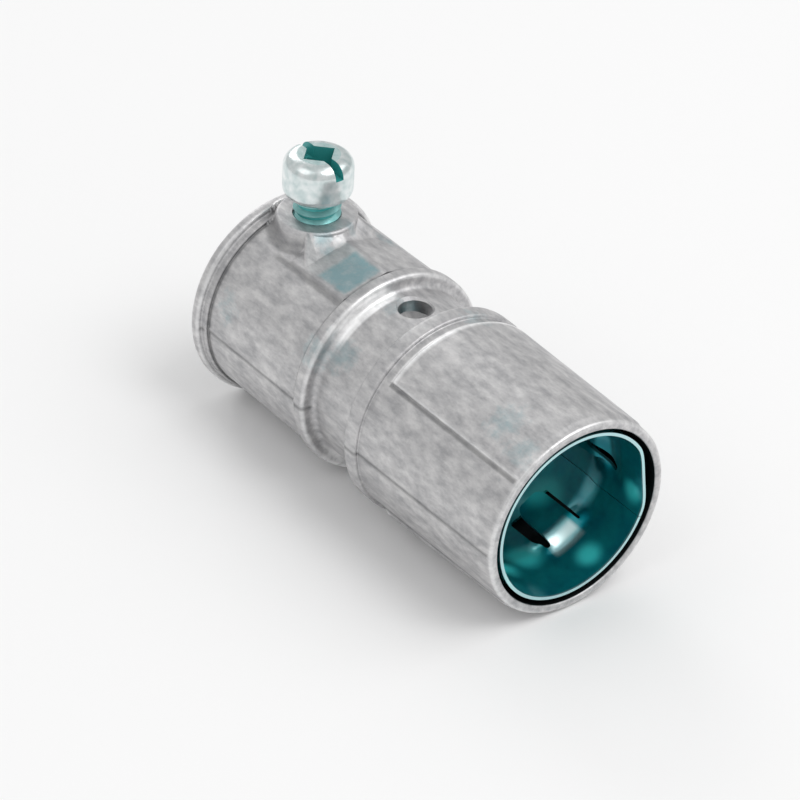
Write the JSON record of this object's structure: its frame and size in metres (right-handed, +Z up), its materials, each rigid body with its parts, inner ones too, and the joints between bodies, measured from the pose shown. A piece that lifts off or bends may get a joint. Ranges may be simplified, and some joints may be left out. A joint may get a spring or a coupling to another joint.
{
  "type": "conduit coupling",
  "caption": "Cast coupling that joins snap-in flexible conduit to set-screw steel tube, with a spring sleeve in one mouth and a screw boss by the other.",
  "frame": {"origin": "middle of the flexible conduit's mouth, on the axis that both sockets share", "axes": "+X out of the flexible conduit's mouth, +Z up along the set screw, +Y across; the mould parts at z = 0"},
  "size_m": [0.0617, 0.0294, 0.0377],
  "materials": {
    "cast_zinc": "as-cast zinc, dull and mottled",
    "plated_steel": "bright zinc plating with a pale blue passivation",
    "teal_spring_steel": "glossy spring steel with a teal passivated plating"
  },
  "bodies": {
    "coupling": {"coupling_body": "cast_zinc", "snap_sleeve": "teal_spring_steel"},
    "screw": {"set_screw": "plated_steel"}
  },
  "joints": [
    {"name": "screw_travel", "type": "slide", "parent": "coupling", "child": "screw", "axis": [0, 0, 1], "range_m": [-0.0026, 0.002]}
  ]
}
